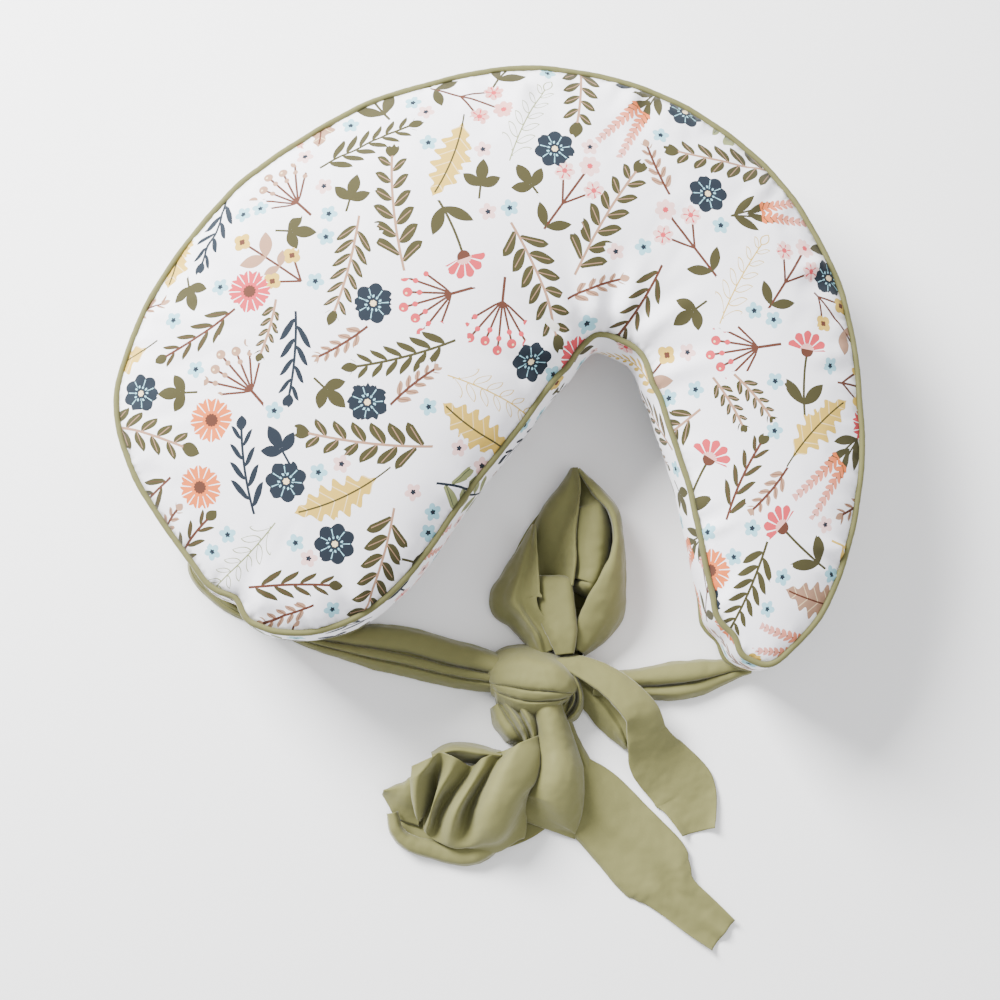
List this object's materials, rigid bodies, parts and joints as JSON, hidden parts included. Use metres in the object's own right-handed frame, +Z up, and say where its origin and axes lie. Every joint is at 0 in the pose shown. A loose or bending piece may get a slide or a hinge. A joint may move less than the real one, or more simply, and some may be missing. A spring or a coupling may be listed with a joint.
{
  "type": "nursing pillow",
  "caption": "Curved nursing pillow with one broad and one slim arm, a zipped piped cover over a filled liner, and a cloth waist tie knotted in a bow across its opening.",
  "frame": {"origin": "the middle of the whole part's outline, on the surface that it lies on", "axes": "+Z up, out of the top panel; +Y from the waist opening towards the closed back edge; +X towards the slim arm"},
  "size_m": [0.6159, 0.7379, 0.1506],
  "materials": {
    "printed_cotton": "smooth woven cotton, white ground with a small botanical print",
    "olive_cotton": "bias-cut olive green cotton",
    "piping_cord": "twisted cotton cord",
    "liner_cotton": "plain unbleached cotton",
    "polyester_fibre": "loose polyester fibre",
    "zip_tape": "woven zip tape",
    "zip_coil": "nylon coil",
    "zip_metal": "nickel-plated",
    "tie_cotton": "plain olive green cotton"
  },
  "bodies": {
    "pillow": {"cover_top_panel": "printed_cotton", "cover_bottom_panel": "printed_cotton", "cover_side_band": "printed_cotton", "zip_strip_upper": "printed_cotton", "zip_strip_lower": "printed_cotton", "top_piping_cover": "olive_cotton", "top_piping_cord": "piping_cord", "bottom_piping_cover": "olive_cotton", "bottom_piping_cord": "piping_cord", "liner_top_panel": "liner_cotton", "liner_bottom_panel": "liner_cotton", "liner_side_band": "liner_cotton", "fibre_filling": "polyester_fibre", "zip_tape_upper": "zip_tape", "zip_tape_lower": "zip_tape", "zip_coil_upper": "zip_coil", "zip_coil_lower": "zip_coil", "zip_end_stops": "zip_metal", "zip_bottom_stop": "zip_metal", "tie_strap_left": "tie_cotton", "tie_strap_right": "tie_cotton", "tie_strap_hidden_run": "tie_cotton", "tie_knot": "tie_cotton"},
    "slider": {"zip_slider": "zip_metal"},
    "puller": {"zip_pull_tab": "zip_metal"},
    "upper_loop": {"bow_loop_upper": "tie_cotton"},
    "lower_loop": {"bow_loop_lower": "tie_cotton"},
    "right_tail": {"tie_tail_right": "tie_cotton"},
    "long_tail": {"tie_tail_long": "tie_cotton"}
  },
  "joints": [
    {"name": "zip_travel", "type": "hinge", "parent": "pillow", "child": "slider", "pos_m": [0.038, 0.098, 0.067], "axis": [0, 0, 1], "range_deg": [0, 63.1]},
    {"name": "pull_tab_flip", "type": "hinge", "parent": "slider", "child": "puller", "pos_m": [0.23842, 0.27471, 0.067], "axis": [0, 0, -1], "range_deg": [0, 170]},
    {"name": "upper_loop_lift", "type": "hinge", "parent": "pillow", "child": "upper_loop", "pos_m": [0.054, -0.111, 0.019], "axis": [1, 0, 0], "range_deg": [0, 60]},
    {"name": "lower_loop_lift", "type": "hinge", "parent": "pillow", "child": "lower_loop", "pos_m": [0.046, -0.199, 0.014], "axis": [-0.9368, 0.3499, 0], "range_deg": [0, 60]},
    {"name": "right_tail_lift", "type": "hinge", "parent": "pillow", "child": "right_tail", "pos_m": [0.107, -0.15, 0.0265], "axis": [-0.7828, -0.6222, 0], "range_deg": [0, 60]},
    {"name": "long_tail_lift", "type": "hinge", "parent": "pillow", "child": "long_tail", "pos_m": [0.104, -0.244, 0.002], "axis": [-0.7413, -0.6712, 0], "range_deg": [0, 60]}
  ]
}
